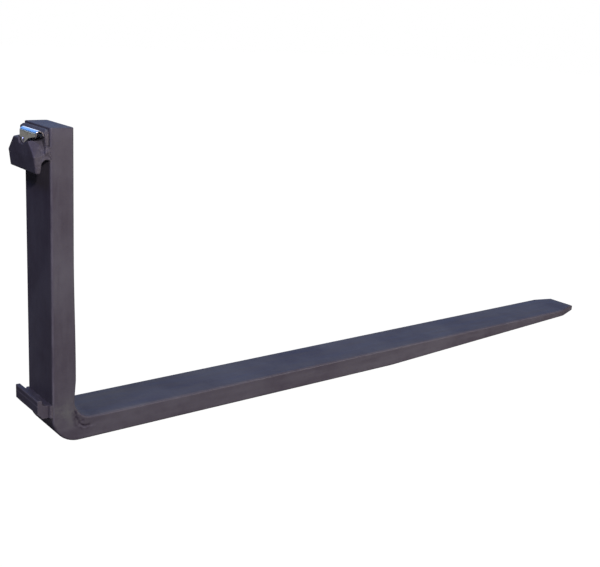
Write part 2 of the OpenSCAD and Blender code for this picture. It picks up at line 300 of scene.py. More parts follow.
class Nodes:
    """Short hand for building a material's node tree."""

    def __init__(self, name: str) -> None:
        """Starts a material with a shader, an output and Object coordinates."""
        self.material = bpy.data.materials.new(name)
        self.material.use_nodes = True
        self.tree = self.material.node_tree
        self.tree.nodes.clear()
        self.output = self.add("OutputMaterial")
        self.shader = self.add("BsdfPrincipled")
        self.link(self.shader.outputs[0], self.output.inputs["Surface"])
        self.place = self.add("TexCoord").outputs["Object"]

    def link(self, source: Socket, target: Socket) -> None:
        """Joins an output to an input."""
        self.tree.links.new(source, target)

    def add(self, kind: str, **values: object) -> bpy.types.Node:
        """Adds a shader node with the values of its inputs, and returns it."""
        node = self.tree.nodes.new("ShaderNode" + kind)
        for name, value in values.items():
            node.inputs[name.replace("_", " ")].default_value = value
        return node

    def feed(self, value: Union[Socket, float, tuple], target: Socket) -> None:
        """Joins an output to an input, or sets it to a number or a linear colour."""
        if isinstance(value, (int, float)):
            target.default_value = value
        elif isinstance(value, tuple):
            target.default_value = (*value, 1.0)
        else:
            self.link(value, target)

    def axes(self) -> tuple:
        """Splits the Object coordinates, and returns the outputs of X, Y and Z."""
        node = self.add("SeparateXYZ")
        self.link(self.place, node.inputs[0])
        return tuple(node.outputs)

    def noise(
        self, scale: float, detail: float = 4.0, rough: float = 0.55, stretch: tuple = (1, 1, 1)
    ) -> Socket:
        """Adds a noise on Object coordinates.

        Args:
            scale: Features a metre.
            detail: Octaves.
            rough: Weight of the finer octaves.
            stretch: Scale along each axis.

        Returns:
            The noise's factor output.
        """
        mapping = self.add("Mapping", Scale=stretch)
        self.link(self.place, mapping.inputs["Vector"])
        node = self.add("TexNoise", Scale=scale, Detail=detail, Roughness=rough)
        self.link(mapping.outputs[0], node.inputs["Vector"])
        return node.outputs["Fac"]

    def ramp(self, factor: Socket, stops: tuple) -> Socket:
        """Adds a colour ramp.

        Args:
            factor: Output that drives the ramp.
            stops: Pairs of a position and a linear colour.

        Returns:
            The ramp's colour output.
        """
        node = self.add("ValToRGB")
        fill_band(node.color_ramp, stops)
        self.link(factor, node.inputs["Fac"])
        return node.outputs["Color"]

    def remap(
        self, factor: Socket, low: float, high: float, start: float = 0.0, end: float = 1.0
    ) -> Socket:
        """Maps a factor from one range to another, clamped.

        Args:
            factor: Output to map.
            low: Result at start.
            high: Result at end.
            start: Factor at which the result is low.
            end: Factor at which the result is high.

        Returns:
            The mapped output.
        """
        node = self.add("MapRange", From_Min=start, From_Max=end, To_Min=low, To_Max=high)
        self.link(factor, node.inputs["Value"])
        return node.outputs["Result"]

    def mix(
        self,
        factor: Union[Socket, float],
        first: Union[Socket, tuple],
        second: Union[Socket, tuple],
    ) -> Socket:
        """Mixes two colours.

        Args:
            factor: Output or number that weighs the second colour.
            first: Output or linear colour.
            second: Output or linear colour.

        Returns:
            The mixed colour output.
        """
        node = self.add("Mix")
        node.data_type = "RGBA"
        for value, index in ((factor, 0), (first, 6), (second, 7)):
            self.feed(value, node.inputs[index])
        return node.outputs[2]

    def math(
        self, operation: str, first: Union[Socket, float], second: Union[Socket, float]
    ) -> Socket:
        """Combines two values with one operation, and returns the output."""
        node = self.add("Math")
        node.operation = operation
        self.feed(first, node.inputs[0])
        self.feed(second, node.inputs[1])
        return node.outputs[0]

    def bump(self, height: Socket, depth: float, under: Optional[Socket] = None) -> Socket:
        """Adds a bump.

        Args:
            height: Output that gives the height.
            depth: Height in metres of a factor of one.
            under: Output of an earlier bump.

        Returns:
            The normal output.
        """
        node = self.add("Bump", Strength=1.0, Distance=depth)
        self.link(height, node.inputs["Height"])
        if under is not None:
            self.link(under, node.inputs["Normal"])
        return node.outputs["Normal"]

    def vary_roughness(self, factor: Socket, middle: float, below: float, above: float) -> None:
        """Lets the roughness follow a factor.

        Args:
            factor: Output that drives it.
            middle: The finish's own roughness.
            below: How far it falls where the factor is low.
            above: How far it rises where the factor is high.
        """
        rough = self.remap(factor, middle - below, middle + above, 0.3, 0.7)
        self.link(rough, self.shader.inputs["Roughness"])


@dataclass(frozen=True)
class DarkPaint:
    """Thin dark satin paint over forged steel.

    Attributes:
        highlight_lines: Painted highlights, light lines along the edges of the back face, as pairs
            of a height above the underside and half a width, in mm.
        highlight_line_face: X in metres up to which the painted lines are whole, and from which
            there are none.
    """

    name: str
    base: tuple = (0.075, 0.072, 0.082)
    light: tuple = (0.100, 0.101, 0.110)
    dark: tuple = (0.052, 0.046, 0.057)
    roughness: float = 0.46
    grain: float = 0.00006
    scale_depth: float = 0.00025
    # Colour of worn paint, also used for painted highlights on edges and lines.
    wear_and_highlight: tuple = (0.150, 0.148, 0.160)
    edge_wear_and_highlight: float = 0.0
    highlight_lines: tuple = ()
    highlight_line_face: tuple = (-0.0246, -0.0240)

    def build(self) -> Finish:
        """Returns the material."""
        n = Nodes(self.name)
        cloud = n.noise(14.0, 6.0, 0.6)
        colour = n.ramp(cloud, ((0.30, self.dark), (0.50, self.base), (0.72, self.light)))
        dust = n.remap(n.noise(160.0, 5.0, 0.7), 0.0, 0.35, 0.52, 0.75)
        colour = n.mix(dust, colour, self.light)
        # Painted highlights: light lines along the edges of the lower hook's back face, where light
        # catches them.
        if self.highlight_lines:
            x, _, z = n.axes()
            broken = n.remap(n.noise(60.0, 5.0, 0.7, (1.0, 0.3, 1.0)), 0.5, 1.0, 0.36, 0.60)
            outside = n.remap(x, 1.0, 0.0, *self.highlight_line_face)
            broken = n.math("MULTIPLY", broken, outside)
            for height, half in self.highlight_lines:
                offset = n.math("SUBTRACT", z, height * MM - DATUM)
                away = n.math("ABSOLUTE", offset, 0.0)
                line = n.remap(away, 1.0, 0.0, half * 0.4 * MM, half * MM)
                colour = n.mix(n.math("MULTIPLY", line, broken), colour, self.wear_and_highlight)
        # Convex edges lightened: partly worn paint, partly a painted highlight where light catches
        # the edges.
        if self.edge_wear_and_highlight > 0.0:
            ridge = n.add("NewGeometry").outputs["Pointiness"]
            proud = n.remap(ridge, 0.0, self.edge_wear_and_highlight, 0.515, 0.60)
            rubbed_and_lit = n.math("MULTIPLY", proud, n.noise(240.0))
            colour = n.mix(n.math("MULTIPLY", rubbed_and_lit, 1.6), colour, self.wear_and_highlight)
            # Painted shade: hollows and creases darkened towards the dark colour.
            hollow_shade = n.remap(ridge, 0.55, 0.0, 0.40, 0.485)
            colour = n.mix(hollow_shade, colour, self.dark)
        n.link(colour, n.shader.inputs["Base Color"])
        n.vary_roughness(n.noise(55.0, 5.0, 0.6), self.roughness, 0.08, 0.12)
        coarse = n.bump(n.noise(90.0, 4.0, 0.5), self.scale_depth)
        fine = n.bump(n.noise(1400.0, 3.0, 0.6), self.grain, under=coarse)
        n.link(fine, n.shader.inputs["Normal"])
        n.shader.inputs["Specular IOR Level"].default_value = 0.3
        return n.material


@dataclass(frozen=True)
class BarPaint(DarkPaint):
    """Dark paint on the rolled bar, with streaks along the rolling direction, painted shade in the
    crease of the bend and painted highlights on the back corners.

    Attributes:
        patch: Line across the arm round which the bend was heated, in mm.
        crease_shade_lines: Painted shade along the crease of the bend, lines across the arm as
            pairs of a place and a reach, in mm.
        upright: Z in metres between which the streaks turn from blade to shank.
        patch_reach: Metres from the patch between which its colour fades.
        corner_highlight_side: Metres from the middle between which the painted highlight of the
            back corners begins.
        corner_highlight_front: X in metres between which that painted highlight ends.
    """

    patch: tuple = (23.0, 57.0)
    heat: tuple = (0.106, 0.112, 0.106)
    crease_shade_lines: tuple = (
        ((39.5, 51.0), 8.0),
        ((42.0, 42.0), 9.0),
        ((44.0, 33.0), 9.0),
        ((53.0, 25.5), 8.5),
        ((62.0, 24.0), 7.5),
        ((53.5, 34.0), 6.0),
        ((48.0, 43.5), 6.5),
    )
    # Colour of the painted shade in the crease of the bend.
    scale: tuple = (0.028, 0.021, 0.034)
    upright: tuple = (-0.22, -0.19)
    patch_reach: tuple = (0.006, 0.036)
    corner_highlight_side: tuple = (0.0462, 0.0480)
    corner_highlight_front: tuple = (0.0012, 0.0034)

    def reach(self, n: Nodes, spot: tuple) -> Socket:
        """Measures the distance from a line across the arm.

        Args:
            n: The material in the making.
            spot: Millimetres of the line in front of the back face and above the underside.

        Returns:
            The distance output, in metres.
        """
        flat = n.add("VectorMath")
        flat.operation = "MULTIPLY"
        flat.inputs[1].default_value = (1.0, 0.0, 1.0)
        n.link(n.place, flat.inputs[0])
        span = n.add("VectorMath")
        span.operation = "DISTANCE"
        span.inputs[1].default_value = ground(spot[0], 0.0, spot[1])
        n.link(flat.outputs["Vector"], span.inputs[0])
        return span.outputs["Value"]

    def build(self) -> Finish:
        """Returns the material."""
        n = Nodes(self.name)
        cloud = n.noise(9.0, 6.0, 0.6)
        colour = n.ramp(cloud, ((0.30, self.dark), (0.50, self.base), (0.74, self.light)))
        along_blade = n.noise(60.0, 5.0, 0.6, (0.12, 1.0, 1.0))
        along_shank = n.noise(60.0, 5.0, 0.6, (1.0, 1.0, 0.12))
        x, y, z = n.axes()
        upright = n.remap(z, 0.0, 1.0, *self.upright)
        streak = n.mix(upright, along_blade, along_shank)
        colour = n.mix(n.remap(streak, 0.0, 0.5, 0.50, 0.72), colour, self.light)
        colour = n.mix(n.remap(streak, 0.4, 0.0, 0.28, 0.46), colour, self.dark)
        patch = n.remap(self.reach(n, self.patch), 1.0, 0.0, *self.patch_reach)
        mottled = n.remap(n.noise(70.0), 0.0, 1.0, 0.35, 0.60)
        colour = n.mix(n.math("MULTIPLY", patch, mottled), colour, self.heat)
        # Painted shade: darkens the crease of the bend, where it lies deep.
        crease_shade_mask = 0.0
        for spot, size in self.crease_shade_lines:
            near = n.remap(self.reach(n, spot), 1.0, 0.0, size * 0.35 * MM, size * MM)
            crease_shade_mask = n.math("MAXIMUM", near, crease_shade_mask)
        broken = n.remap(n.noise(130.0, 5.0, 0.65), 0.15, 0.95, 0.36, 0.62)
        colour = n.mix(n.math("MULTIPLY", crease_shade_mask, broken), colour, self.scale)
        # Painted highlight: lightens the shank's back corners, where light catches their rounding.
        side = n.math("ABSOLUTE", y, 0.0)
        corner_highlight = n.math(
            "MULTIPLY",
            n.remap(side, 0.0, 1.0, *self.corner_highlight_side),
            n.remap(x, 1.0, 0.0, *self.corner_highlight_front),
        )
        rubbed_and_lit = n.remap(n.noise(50.0, 5.0, 0.7, (1.0, 1.0, 0.4)), 0.25, 0.85, 0.38, 0.62)
        colour = n.mix(n.math("MULTIPLY", corner_highlight, rubbed_and_lit), colour, self.wear_and_highlight)
        n.link(colour, n.shader.inputs["Base Color"])
        n.vary_roughness(streak, self.roughness, 0.08, 0.12)
        waves = n.bump(n.noise(28.0, 3.0, 0.5), self.scale_depth * 2.0)
        coarse = n.bump(streak, self.scale_depth, under=waves)
        fine = n.bump(n.noise(1200.0, 3.0, 0.6), self.grain, under=coarse)
        n.link(fine, n.shader.inputs["Normal"])
        n.shader.inputs["Specular IOR Level"].default_value = 0.3
        return n.material


@dataclass(frozen=True)
class Plating:
    """Bright zinc plating with faint drawing lines, and painted shade at the lever's near end."""

    name: str
    base: tuple = (0.78, 0.80, 0.84)
    stain: tuple = (0.52, 0.50, 0.44)
    # Painted shade: near black at the lever's near cut end, over its edge and the inside of its
    # fold there.
    end_shade: tuple = (0.06, 0.05, 0.05)
    end_shade_span: tuple = (-0.0488, -0.0484)
    roughness: float = 0.16
    line_depth: float = 0.00002

    def build(self) -> Finish:
        """Returns the material."""
        n = Nodes(self.name)
        stain = n.remap(n.noise(130.0, 4.0, 0.6), 0.0, 0.8, 0.45, 0.72)
        plate = n.mix(stain, self.base, self.stain)
        _, y, _ = n.axes()
        # Painted shade at the lever's near end.
        end_shade_mask = n.remap(y, 0.85, 0.0, *self.end_shade_span)
        n.link(n.mix(end_shade_mask, plate, self.end_shade), n.shader.inputs["Base Color"])
        n.vary_roughness(n.noise(420.0, 4.0, 0.6), self.roughness, 0.05, 0.12)
        lines = n.noise(900.0, 3.0, 0.6, (1.0, 0.06, 1.0))
        n.link(n.bump(lines, self.line_depth), n.shader.inputs["Normal"])
        n.shader.inputs["Metallic"].default_value = 1.0
        return n.material


@dataclass(frozen=True)
class TurnedSteel:
    """Oiled bare steel with turning marks round a vertical axis."""

    name: str
    base: tuple = (0.42, 0.42, 0.44)
    oil: tuple = (0.22, 0.21, 0.21)
    roughness: float = 0.32
    mark_depth: float = 0.00002

    def build(self) -> Finish:
        """Returns the material."""
        n = Nodes(self.name)
        marks = n.noise(2600.0, 2.0, 0.5, (0.02, 0.02, 1.0))
        shade = n.remap(n.noise(300.0, 4.0, 0.6), 0.0, 0.5, 0.4, 0.7)
        n.link(n.mix(shade, self.base, self.oil), n.shader.inputs["Base Color"])
        n.vary_roughness(marks, self.roughness, 0.06, 0.1)
        n.link(n.bump(marks, self.mark_depth), n.shader.inputs["Normal"])
        n.shader.inputs["Metallic"].default_value = 1.0
        return n.material


def dress(piece: Piece, finish: Finish) -> None:
    """Gives a piece or a CAD node one finish in all its slots."""
    if not piece.data.materials:
        piece.data.materials.append(finish)
        return
    for slot in piece.material_slots:
        slot.material = finish


# Forged bar


@dataclass
class ForgedBar:
    """Shank, heel and tapered blade: a rolled bar that is cut, bent and tapered.

    Lengths are in millimetres.

    Attributes:
        keep: Depth under each face that the taper leaves as it is.
        fan: Length before and behind the heel over which the stations slant.
        cheek: Middle and radius of the pressed part of a cheek.
        groove: Depth and half width of the crease.
        lip: Height of the crease's rim, its distance and its half width.
        pit: Middle, depth and half width of the pit in the crease.
        bulge: Middle, height and half width of the rise round the crease.
    """

    width: float = 100.0
    thick: float = 40.0
    edge: float = 4.0
    shank_h: float = 534.0
    blade_len: float = 1400.0
    heel_r: float = 48.0
    throat_r: float = 34.0
    taper_len: float = 655.0
    tip_t: float = 14.0
    tip_half: float = 30.0
    tip_run: float = 68.0
    end_bevel: float = 1.5
    pitch: float = 20.0
    keep: float = 4.5
    flare: float = 3.0
    flare_top: float = 330.0
    flare_end: float = 120.0
    fan: float = 36.0
    fan_steps: int = 5
    shank_steps: int = 18
    heel_steps: int = 48
    blade_steps: int = 16
    taper_steps: int = 16
    lane: float = 13.0
    layers: int = 26
    nose_run: float = 9.0
    nose_drop: float = 3.5
    crease: tuple = (
        *((38.6, 66.0), (39.3, 56.0), (42.2, 42.0), (48.4, 29.7)),
        *((56.0, 24.6), (64.0, 24.0), (72.0, 27.6), (78.0, 32.5)),
    )
    cheek: tuple = ((58.0, 44.0), 45.0)
    groove: tuple = (2.0, 1.9)
    lip: tuple = (0.3, 4.2, 1.8)
    pit: tuple = ((52.5, 34.5), 1.6, 2.6)
    bulge: tuple = ((58.0, 42.0), 0.45, 13.0)
    bulge_limit: float = 0.5

    def stations(self) -> list:
        """Lists the bar's cross cuts as pairs of an outer and an inner point.

        Returns:
            Pairs of (x, z) in millimetres above the underside, from the shank's top to the tip.
        """
        t = self.thick
        inner = t + self.throat_r
        start = inner + self.fan
        second = self.shank_h - self.pitch
        rows = [((0.0, z), (t, z)) for z in (self.shank_h, second)]
        for i in range(1, self.shank_steps + 1):
            z = second + (start - second) * i / self.shank_steps
            rows.append(((0.0, z), (t + self.swell(z), z)))
        for i in range(1, self.fan_steps):
            part = i / self.fan_steps
            rows.append(
                (
                    (0.0, start + (self.heel_r - start) * part),
                    (t + self.flare * (1 - part), start + (inner - start) * part),
                )
            )
        for i in range(self.heel_steps + 1):
            a = math.radians(90.0 * i / self.heel_steps)
            outer = (self.heel_r * (1 - math.cos(a)), self.heel_r * (1 - math.sin(a)))
            bend = (inner - self.throat_r * math.cos(a), inner - self.throat_r * math.sin(a))
            rows.append((outer, bend))
        for i in range(self.fan_steps - 1, -1, -1):
            part = i / self.fan_steps
            rows.append(
                ((start + (self.heel_r - start) * part, 0.0), (start + (inner - start) * part, t))
            )
        tip_x = t + self.blade_len
        taper_x = tip_x - self.taper_len
        for i in range(1, self.blade_steps + 1):
            x = start + (taper_x - start) * i / self.blade_steps
            rows.append(((x, 0.0), (x, t)))
        for i in range(1, self.taper_steps + 1):
            x = taper_x + (tip_x - taper_x) * i / self.taper_steps
            rise = (t - self.tip_t) * i / self.taper_steps
            rows.append(((x, rise), (x, t)))
        return rows

    def swell(self, z: float) -> float:
        """Returns how far the shank's front face stands out at a height near the heel."""
        share = min(1.0, max(0.0, (self.flare_top - z) / (self.flare_top - self.flare_end)))
        return self.flare * share * share * (3.0 - 2.0 * share)

    def roll(self, count: int) -> Piece:
        """Makes the straight bar with rounded long edges and its cross cuts.

        Args:
            count: Number of stations.

        Returns:
            The bar, along +X from the origin, with its outer face at z 0.
        """
        length = self.pitch * (count - 1) * MM
        middle = Vector((length / 2, 0, self.thick * MM / 2))
        bar = block("fork_arm_forging", middle, (length, self.width * MM, self.thick * MM))
        bevel_edges(bar, lambda a, b: abs(a.x - b.x) > length / 2, self.edge, 6)
        bevel_edges(bar, lambda a, b: max(a.x, b.x) < SAME_PLACE, self.end_bevel, 2)
        across = Vector((0, 1, 0))
        for i in range(-3, 4):
            cut(bar, Vector((0, i * self.lane * MM, 0)), across)
        up = Vector((0, 0, 1))
        for i in range(self.layers + 1):
            t = self.keep + (self.thick - 2 * self.keep) * i / self.layers
            cut(bar, Vector((0, 0, t * MM)), up)
        along = Vector((1, 0, 0))
        for i in range(1, count - 1):
            cut(bar, Vector((i * self.pitch * MM, 0, 0)), along)
        return bar

    def bend(self, bar: Piece, rows: list) -> None:
        """Moves every point of the straight bar to its station on the bent and tapered arm.

        Args:
            bar: The straight bar.
            rows: The stations.
        """
        for vertex in bar.data.vertices:
            share = vertex.co.x / (self.pitch * MM)
            i = min(int(share + 1e-4), len(rows) - 2)
            part = share - i
            outer = Vector(rows[i][0]).lerp(Vector(rows[i + 1][0]), part)
            inner = Vector(rows[i][1]).lerp(Vector(rows[i + 1][1]), part)
            span = inner - outer
            deep = vertex.co.z / MM
            if deep <= self.keep:
                place = outer + span.normalized() * deep
            elif deep >= self.thick - self.keep:
                place = inner - span.normalized() * (self.thick - deep)
            else:
                middle = (deep - self.keep) / (self.thick - 2 * self.keep)
                place = outer + span.normalized() * (
                    self.keep + (span.length - 2 * self.keep) * middle
                )
            vertex.co = ground(place.x, vertex.co.y / MM, place.y)

    def trim_tip(self, bar: Piece) -> None:
        """Cuts the sides and the top of the tip."""
        tip_x = self.thick + self.blade_len
        half = self.width / 2
        drop = half - self.tip_half
        for side in (1, -1):
            cut(
                bar,
                ground(tip_x - self.tip_run, side * half, 0),
                Vector((drop, side * self.tip_run, 0)).normalized(),
                clear=True,
            )
        slope = Vector((self.nose_drop, 0, self.nose_run)).normalized()
        cut(bar, ground(tip_x - self.nose_run, 0, self.thick), slope, clear=True)

    def crease_gap(self, here: Vector) -> tuple:
        """Finds the nearest point of the crease.

        Args:
            here: Place on a cheek, in millimetres.

        Returns:
            The distance to it in millimetres, and its share of the crease.
        """
        line = [Vector(p) for p in self.crease]
        last = len(line) - 1
        near, share = math.inf, 0.0
        for i in range(last):
            a, b = line[i], line[i + 1]
            run = b - a
            k = max(0.0, min(1.0, (here - a).dot(run) / run.length_squared))
            gap = (here - a.lerp(b, k)).length
            if gap < near:
                near, share = gap, (i + k) / last
        return near, share

    def cheek_push(self, here: Vector) -> float:
        """Works out how far a cheek stands out at a place, both in millimetres."""
        near, share = self.crease_gap(here)
        fade = min(1.0, share * 5.0, (1.0 - share) * 4.0)
        depth, width = self.groove
        groove = depth * fade * math.exp(-((near / width) ** 2))
        rise, away, width = self.lip
        lip = rise * fade * math.exp(-(((near - away) / width) ** 2))
        spot, depth, width = self.pit
        pit = depth * math.exp(-(((here - Vector(spot)).length / width) ** 2))
        spot, rise, width = self.bulge
        bulge = rise * math.exp(-(((here - Vector(spot)).length / width) ** 4))
        return min(bulge + lip, self.bulge_limit) - groove - pit

    def press_cheeks(self, bar: Piece) -> None:
        """Presses the curled crease of the bend into both cheeks of the heel."""
        middle, reach = self.cheek
        for vertex in bar.data.vertices:
            if abs(vertex.co.y) < (self.width / 2 - self.edge) * MM:
                continue
            here = Vector((vertex.co.x / MM, (vertex.co.z + DATUM) / MM))
            if (here - Vector(middle)).length > reach:
                continue
            side = 1.0 if vertex.co.y > 0 else -1.0
            vertex.co.y += side * self.cheek_push(here) * MM

    def build(self, finish: Finish) -> Piece:
        """Makes and dresses the whole bar.

        Args:
            finish: Its paint.

        Returns:
            The finished piece.
        """
        rows = self.stations()
        bar = self.roll(len(rows))
        self.bend(bar, rows)
        self.trim_tip(bar)
        self.press_cheeks(bar)
        tidy_mesh(bar)
        smooth(bar, 32.0)
        dress(bar, finish)
        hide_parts("fork_arm")
        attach(bar, Body.ARM.value)
        return bar


# Hooks


@dataclass
class TopHookForging:
    """Forged top hook with its ground side beads: the solids, softened and weathered.

    Lengths are in millimetres.

    Attributes:
        notch: Height and X that bound the seat and the lip's inside, which stay as they are.
        grinding: Mean depth and spread of the ground beads, and the scale of their noise.
        scale: Depth of the forging's unevenness, and the scale of its noise.
        marks: Pits and lumps, each a place, a size and a rise.
        saddle_room: Depth that the saddle is lowered by, so that the lever can turn.
    """

    grain: float = 0.75
    rounds: int = 6
    bead_side: float = 44.0
    bead_low: float = 483.0
    bead_high: float = 507.0
    bead_back: float = -15.0
    root_back: float = -9.0
    notch: tuple = (484.0, -16.0)
    grinding: tuple = (0.75, 1.1, 210.0)
    scale: tuple = (0.35, 120.0)
    mark_reach: float = 2.5
    side_limit: float = 50.3
    saddle_side: float = 36.0
    saddle_room: float = 0.35
    marks: tuple = (
        ((-9.5, -46.5, 508.5), 2.6, -2.2),
        ((-8.0, -49.0, 503.5), 2.2, -1.4),
        ((-8.5, -50.0, 494.5), 3.0, 1.4),
        ((-4.5, -50.0, 498.5), 2.6, 0.9),
        ((-15.0, -43.0, 500.0), 3.4, -0.8),
        ((-18.0, -46.0, 491.0), 3.0, -0.6),
        ((-9.0, 46.5, 509.0), 2.4, -0.9),
        ((-7.5, 50.0, 495.0), 3.2, 0.6),
    )

    def build(self, nodes: dict, finish: Finish) -> Piece:
        """Softens copies of the solids, grown into one, and dresses them.

        Args:
            nodes: The CAD nodes by name.
            finish: Its paint.

        Returns:
            The finished piece.
        """
        beads = [
            copy_of_node(nodes[name], name + "_copy")
            for name in ("top_hook_weld_near", "top_hook_weld_far")
        ]
        hook = copy_of_node(nodes["top_hook"], "top_hook_forging")
        take(hook)
        for bead in beads:
            bead.select_set(True)
        bpy.ops.object.join()
        remesh(hook, self.grain, self.rounds)
        self.weather(hook)
        smooth(hook, 60.0)
        dress(hook, finish)
        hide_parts("top_hook", "top_hook_weld_near", "top_hook_weld_far")
        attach(hook, Body.ARM.value)
        return hook

    def weather(self, hook: Piece) -> None:
        """Gives the free faces the unevenness of a forging, and the beads that of hand grinding."""
        notch_top, notch_back = self.notch
        depth, spread, fine = self.grinding
        rough, coarse = self.scale
        limit = self.side_limit * MM
        normals = [vertex.normal.copy() for vertex in hook.data.vertices]
        for vertex, normal in zip(hook.data.vertices, normals):
            place = vertex.co
            height = (place.z + DATUM) / MM
            side = abs(place.y) / MM
            if height < notch_top and place.x > notch_back * MM:
                continue
            ground_off = side > self.bead_side and self.bead_low < height < self.bead_high
            if ground_off and place.x > self.bead_back * MM:
                push = -depth - spread * noise.noise(place * fine)
            elif place.x > self.root_back * MM and side < self.bead_side:
                continue
            else:
                push = -abs(noise.noise(place * coarse)) * rough
            if normal.z > 0.5 and side < self.saddle_side and height > self.bead_low:
                push -= self.saddle_room
            for spot, size, rise in self.marks:
                gap = (place - ground(*spot)).length / (size * MM)
                if gap < self.mark_reach:
                    push += rise * math.exp(-gap * gap)
            moved = place + normal * push * MM
            if abs(moved.y) > limit:
                moved.y = math.copysign(limit, moved.y)
            vertex.co = moved


@dataclass
class LowerHookBar:
    """Lower hook: a bar with a raised lip and bevelled edges."""

    length: float = 90.0
    out: float = 25.0
    gap: float = 16.5
    seat: float = 74.0
    bottom: float = 51.0
    lip: float = 10.5
    lead: float = 1.5
    chamfer: float = 10.0
    relief: float = 5.0
    broken: float = 0.9

    def build(self, finish: Finish) -> Piece:
        """Shapes the bar from a block and dresses it.

        Args:
            finish: Its paint.

        Returns:
            The finished piece.
        """
        middle = ground(-self.out / 2, 0, (self.seat + self.bottom) / 2)
        sides = (self.out * MM, self.length * MM, (self.seat - self.bottom) * MM)
        hook = block("lower_hook_bar", middle, sides)
        cut(hook, ground(-self.gap, 0, 0), Vector((1, 0, 0)))
        seat = self.seat * MM - DATUM
        select_faces(hook, lambda c, n: n.z > 0.9 and c.x < -self.gap * MM)
        bpy.ops.mesh.extrude_region_move(TRANSFORM_OT_translate={"value": (0, 0, self.lip * MM)})
        top = seat + self.lip * MM
        root = -self.gap * MM
        bevel_edges(hook, lambda a, b: self.lies(a, b, root, top), self.lead, 1)
        bevel_edges(hook, lambda a, b: self.lies(a, b, root, seat), self.relief, 6)
        back = -self.out * MM
        under = self.bottom * MM - DATUM
        bevel_edges(hook, lambda a, b: self.lies(a, b, back, under), self.chamfer, 1)
        bpy.ops.object.mode_set(mode="OBJECT")
        tidy_mesh(hook)
        break_edges(hook, self.broken, 3, 28.0)
        dress(hook, finish)
        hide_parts("lower_hook")
        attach(hook, Body.ARM.value)
        return hook

    @staticmethod
    def lies(a: Vector, b: Vector, x: float, z: float) -> bool:
        """Tells whether an edge runs across the arm at a given x and z."""
        return all(abs(p.x - x) < 1e-5 and abs(p.z - z) < 1e-5 for p in (a, b))


@dataclass
class WeldBead:
    """Weld bead of the lower hook, with the ripples of its laying.

    Attributes:
        run: Direction in which it was laid.
        sway: Share of a ripple by which they wander, and the scale of that noise.
        lumps: Height of the lumps against that of the ripples, and the scale of their noise.
    """

    node: str
    run: tuple
    pitch: float = 2.6
    height: float = 0.42
    grain: float = 0.35
    rounds: int = 2
    sway: tuple = (0.8, 90.0)
    lumps: tuple = (0.5, 260.0)

    def build(self, nodes: dict, finish: Finish) -> Piece:
        """Ripples a copy of the bead's solid and dresses it.

        Args:
            nodes: The CAD nodes by name.
            finish: Its paint.

        Returns:
            The finished piece.
        """
        bead = copy_of_node(nodes[self.node], self.node + "_ripples")
        remesh(bead, self.grain, self.rounds)
        run = Vector(self.run)
        width, coarse = self.sway
        rise, fine = self.lumps
        normals = [vertex.normal.copy() for vertex in bead.data.vertices]
        for vertex, normal in zip(bead.data.vertices, normals):
            place = vertex.co
            sway = noise.noise(place * coarse) * width
            turns = place.dot(run) / (self.pitch * MM) + sway
            wave = 0.5 - 0.5 * math.cos(2 * math.pi * turns)
            lump = rise * abs(noise.noise(place * fine))
            vertex.co = place - normal * (wave + lump) * self.height * MM
        smooth(bead, 60.0)
        dress(bead, finish)
        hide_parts(self.node)
        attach(bead, Body.ARM.value)
        return bead


# Latch


@dataclass
class Latch:
    """Locking pin, spring, folded lever and rivet of the top hook."""

    broken: float = 0.35

    def soften(self, node: Piece, name: str) -> Piece:
        """Copies a node and breaks its sharp edges.

        Args:
            node: The CAD node.
            name: Name of the new piece.

        Returns:
            The new piece.
        """
        piece = copy_of_node(node, name)
        edit_all(piece)
        bpy.ops.mesh.dissolve_limited(angle_limit=math.radians(0.5))
        bpy.ops.object.mode_set(mode="OBJECT")
        break_edges(piece, self.broken, 2, 35.0)
        return piece

    def build(self, nodes: dict, plated: Finish, turned: Finish) -> Piece:
        """Makes the lever and dresses all pieces of the latch.

        Args:
            nodes: The CAD nodes by name.
            plated: Finish of the lever and its rivet.
            turned: Finish of the pin and the spring.

        Returns:
            The finished lever.
        """
        lever = self.soften(nodes["latch_lever"], "lever_sheet")
        dress(lever, plated)
        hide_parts("latch_lever")
        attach(lever, Body.LEVER.value)
        dress(nodes["lever_rivet"], plated)
        dress(nodes["latch_pin"], turned)
        dress(nodes["latch_spring"], turned)
        return lever


# Studio


